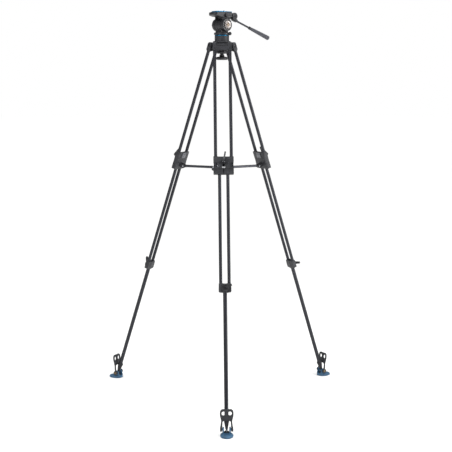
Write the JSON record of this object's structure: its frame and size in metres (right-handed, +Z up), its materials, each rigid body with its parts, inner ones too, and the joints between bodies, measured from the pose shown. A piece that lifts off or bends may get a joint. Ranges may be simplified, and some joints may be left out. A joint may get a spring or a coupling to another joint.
{
  "type": "video tripod with fluid head",
  "caption": "Twin-tube video tripod with mid-level spreader, levelling bowl and a fluid pan and tilt head with a rear handle.",
  "frame": {"origin": "floor point under the middle of the outline, between the feet", "axes": "+Z up; the front leg points towards -Y; the handle trails towards +X +Y"},
  "size_m": [1.1248, 0.9812, 1.806],
  "materials": {
    "tube": "black anodised, satin",
    "casting": "textured dark grey paint on die-cast alloy",
    "lever": "moulded black nylon",
    "strap_rubber": "matt black rubber",
    "pad_rubber": "matt blue rubber",
    "blue_anodised": "blue anodised, satin",
    "head_casting": "satin black paint on die-cast alloy",
    "dial": "clear anodised, turned",
    "steel": "zinc plated",
    "grip_foam": "matt dark grey rubber grip"
  },
  "bodies": {
    "bowl": {"bowl": "casting"},
    "front_upper_stage": {"front_shoulder": "casting", "front_upper_tube_a": "tube", "front_upper_tube_b": "tube", "front_collar": "casting"},
    "front_collar_lever": {"front_collar_lever": "lever"},
    "front_middle_stage": {"front_middle_tube_a": "tube", "front_middle_tube_b": "tube", "front_clamp": "casting"},
    "front_clamp_knob": {"front_clamp_knob": "lever"},
    "front_lower_stage": {"front_lower_tube": "tube", "front_foot_spike": "steel"},
    "front_foot": {"front_foot_pad": "pad_rubber", "front_foot_strap": "strap_rubber"},
    "front_spreader_arm": {"front_spreader_arm": "tube"},
    "right_upper_stage": {"right_shoulder": "casting", "right_upper_tube_a": "tube", "right_upper_tube_b": "tube", "right_collar": "casting"},
    "right_collar_lever": {"right_collar_lever": "lever"},
    "right_middle_stage": {"right_middle_tube_a": "tube", "right_middle_tube_b": "tube", "right_clamp": "casting"},
    "right_clamp_knob": {"right_clamp_knob": "lever"},
    "right_lower_stage": {"right_lower_tube": "tube", "right_foot_spike": "steel"},
    "right_foot": {"right_foot_pad": "pad_rubber", "right_foot_strap": "strap_rubber"},
    "right_spreader_arm": {"right_spreader_arm": "tube"},
    "left_upper_stage": {"left_shoulder": "casting", "left_upper_tube_a": "tube", "left_upper_tube_b": "tube", "left_collar": "casting"},
    "left_collar_lever": {"left_collar_lever": "lever"},
    "left_middle_stage": {"left_middle_tube_a": "tube", "left_middle_tube_b": "tube", "left_clamp": "casting"},
    "left_clamp_knob": {"left_clamp_knob": "lever"},
    "left_lower_stage": {"left_lower_tube": "tube", "left_foot_spike": "steel"},
    "left_foot": {"left_foot_pad": "pad_rubber", "left_foot_strap": "strap_rubber"},
    "left_spreader_arm": {"left_spreader_arm": "tube"},
    "spreader_hub": {"spreader_hub": "casting"},
    "pressure_cup": {"pressure_cup": "lever"},
    "half_ball": {"half_ball": "casting", "head_base": "head_casting"},
    "tie_down_knob": {"tie_down_knob": "lever"},
    "pan_drag_ring": {"pan_drag_ring": "blue_anodised"},
    "head_body": {"head_body": "head_casting"},
    "pan_lock_knob": {"pan_lock_knob": "lever"},
    "platform": {"tilt_platform": "head_casting"},
    "drag_dial": {"drag_dial": "dial"},
    "tilt_lock_knob": {"tilt_lock_knob": "lever"},
    "plate": {"quick_release_plate": "blue_anodised"},
    "plate_lock_knob": {"plate_lock_knob": "lever"},
    "camera_screw": {"camera_screw": "steel"},
    "handle": {"handle_mount": "head_casting", "handle_bar": "tube", "handle_grip": "grip_foam"}
  },
  "joints": [
    {"name": "front_leg_spread", "type": "hinge", "parent": "bowl", "child": "front_upper_stage", "pos_m": [0, 0.11342, 1.648], "axis": [1, 0, 0], "range_deg": [0, 16]},
    {"name": "front_collar_lever_turn", "type": "hinge", "parent": "front_upper_stage", "child": "front_collar_lever", "pos_m": [0, -0.07383, 1.13288], "axis": [0, -0.9461, 0.3239], "range_deg": [0, 100]},
    {"name": "front_middle_slide", "type": "slide", "parent": "front_upper_stage", "child": "front_middle_stage", "axis": [0, 0.3239, 0.9461], "range_m": [0, 0.44]},
    {"name": "front_clamp_knob_turn", "type": "hinge", "parent": "front_middle_stage", "child": "front_clamp_knob", "pos_m": [0, -0.25684, 0.59834], "axis": [0, -0.9461, 0.3239], "range_deg": [0, 270]},
    {"name": "front_lower_slide", "type": "slide", "parent": "front_middle_stage", "child": "front_lower_stage", "axis": [0, 0.3239, 0.9461], "range_m": [0, 0.44]},
    {"name": "front_foot_tip", "type": "hinge", "parent": "front_lower_stage", "child": "front_foot", "pos_m": [0, -0.44157, 0.027], "axis": [1, 0, 0], "range_deg": [-3, 20]},
    {"name": "front_arm_fold", "type": "hinge", "parent": "front_upper_stage", "child": "front_spreader_arm", "pos_m": [0, -0.05004, 1.08721], "axis": [1, 0, 0], "range_deg": [0, 73.37]},
    {"name": "right_leg_spread", "type": "hinge", "parent": "bowl", "child": "right_upper_stage", "pos_m": [0.03646, 0.17657, 1.648], "axis": [-0.5, 0.866, 0], "range_deg": [0, 16]},
    {"name": "right_collar_lever_turn", "type": "hinge", "parent": "right_upper_stage", "child": "right_collar_lever", "pos_m": [0.19862, 0.2702, 1.13288], "axis": [0.8193, 0.473, 0.3239], "range_deg": [0, 100]},
    {"name": "right_middle_slide", "type": "slide", "parent": "right_upper_stage", "child": "right_middle_stage", "axis": [-0.2805, -0.162, 0.9461], "range_m": [0, 0.44]},
    {"name": "right_clamp_knob_turn", "type": "hinge", "parent": "right_middle_stage", "child": "right_clamp_knob", "pos_m": [0.35712, 0.3617, 0.59834], "axis": [0.8193, 0.473, 0.3239], "range_deg": [0, 270]},
    {"name": "right_lower_slide", "type": "slide", "parent": "right_middle_stage", "child": "right_lower_stage", "axis": [-0.2805, -0.162, 0.9461], "range_m": [0, 0.44]},
    {"name": "right_foot_tip", "type": "hinge", "parent": "right_lower_stage", "child": "right_foot", "pos_m": [0.5171, 0.45407, 0.027], "axis": [-0.5, 0.866, 0], "range_deg": [-3, 20]},
    {"name": "right_arm_fold", "type": "hinge", "parent": "right_upper_stage", "child": "right_spreader_arm", "pos_m": [0.17802, 0.2583, 1.08721], "axis": [-0.5, 0.866, 0], "range_deg": [0, 73.37]},
    {"name": "left_leg_spread", "type": "hinge", "parent": "bowl", "child": "left_upper_stage", "pos_m": [-0.03646, 0.17657, 1.648], "axis": [-0.5, -0.866, 0], "range_deg": [0, 16]},
    {"name": "left_collar_lever_turn", "type": "hinge", "parent": "left_upper_stage", "child": "left_collar_lever", "pos_m": [-0.19862, 0.2702, 1.13288], "axis": [-0.8193, 0.473, 0.3239], "range_deg": [0, 100]},
    {"name": "left_middle_slide", "type": "slide", "parent": "left_upper_stage", "child": "left_middle_stage", "axis": [0.2805, -0.162, 0.9461], "range_m": [0, 0.44]},
    {"name": "left_clamp_knob_turn", "type": "hinge", "parent": "left_middle_stage", "child": "left_clamp_knob", "pos_m": [-0.35712, 0.3617, 0.59834], "axis": [-0.8193, 0.473, 0.3239], "range_deg": [0, 270]},
    {"name": "left_lower_slide", "type": "slide", "parent": "left_middle_stage", "child": "left_lower_stage", "axis": [0.2805, -0.162, 0.9461], "range_m": [0, 0.44]},
    {"name": "left_foot_tip", "type": "hinge", "parent": "left_lower_stage", "child": "left_foot", "pos_m": [-0.5171, 0.45407, 0.027], "axis": [-0.5, -0.866, 0], "range_deg": [-3, 20]},
    {"name": "left_arm_fold", "type": "hinge", "parent": "left_upper_stage", "child": "left_spreader_arm", "pos_m": [-0.17802, 0.2583, 1.08721], "axis": [-0.5, -0.866, 0], "range_deg": [0, 73.37]},
    {"name": "hub_rise", "type": "slide", "parent": "bowl", "child": "spreader_hub", "axis": [0, 0, 1], "range_m": [0, 0.1407]},
    {"name": "level_side", "type": "hinge", "parent": "bowl", "child": "pressure_cup", "pos_m": [0, 0.15552, 1.667], "axis": [0.766, 0.6428, 0], "range_deg": [-10, 10]},
    {"name": "level_front", "type": "hinge", "parent": "pressure_cup", "child": "half_ball", "pos_m": [0, 0.15552, 1.667], "axis": [0.6428, -0.766, 0], "range_deg": [-10, 10]},
    {"name": "tie_down_turn", "type": "hinge", "parent": "half_ball", "child": "tie_down_knob", "pos_m": [0, 0.15552, 1.59], "axis": [0, 0, 1], "range_deg": [0, 360]},
    {"name": "pan_drag_turn", "type": "hinge", "parent": "half_ball", "child": "pan_drag_ring", "pos_m": [0, 0.15552, 1.687], "axis": [0, 0, 1], "range_deg": [0, 270]},
    {"name": "pan", "type": "hinge", "parent": "half_ball", "child": "head_body", "pos_m": [0, 0.15552, 1.7], "axis": [0, 0, 1], "continuous": true},
    {"name": "pan_lock_turn", "type": "hinge", "parent": "head_body", "child": "pan_lock_knob", "pos_m": [0.03243, 0.139, 1.70065], "axis": [0.891, -0.454, 0], "range_deg": [0, 360]},
    {"name": "tilt", "type": "hinge", "parent": "head_body", "child": "platform", "pos_m": [0, 0.15552, 1.74], "axis": [0.6428, -0.766, 0], "range_deg": [-35, 80]},
    {"name": "drag_dial_turn", "type": "hinge", "parent": "platform", "child": "drag_dial", "pos_m": [0.02462, 0.12618, 1.74], "axis": [0.6428, -0.766, 0], "range_deg": [0, 300]},
    {"name": "tilt_lock_turn", "type": "hinge", "parent": "platform", "child": "tilt_lock_knob", "pos_m": [-0.02462, 0.18486, 1.74], "axis": [0.6428, -0.766, 0], "range_deg": [0, 300]},
    {"name": "plate_slide", "type": "slide", "parent": "platform", "child": "plate", "axis": [0.766, 0.6428, 0], "range_m": [-0.01, 0]},
    {"name": "plate_lock_turn", "type": "hinge", "parent": "platform", "child": "plate_lock_knob", "pos_m": [0.01787, 0.13423, 1.783], "axis": [0.6428, -0.766, 0], "range_deg": [0, 360]},
    {"name": "camera_screw_turn", "type": "hinge", "parent": "plate", "child": "camera_screw", "pos_m": [0.00919, 0.16324, 1.8], "axis": [0, 0, 1], "continuous": true},
    {"name": "handle_angle", "type": "hinge", "parent": "platform", "child": "handle", "pos_m": [0.05777, 0.17691, 1.781], "axis": [0.6428, -0.766, 0], "range_deg": [-10, 60]}
  ],
  "couplings": [
    {"joint": "front_arm_fold", "follows": "front_leg_spread", "ratio": 4.5669},
    {"joint": "right_leg_spread", "follows": "front_leg_spread", "ratio": 1},
    {"joint": "right_arm_fold", "follows": "front_leg_spread", "ratio": 4.5669},
    {"joint": "left_leg_spread", "follows": "front_leg_spread", "ratio": 1},
    {"joint": "left_arm_fold", "follows": "front_leg_spread", "ratio": 4.5669},
    {"joint": "hub_rise", "follows": "front_leg_spread", "m_per_rad": 0.50208}
  ]
}
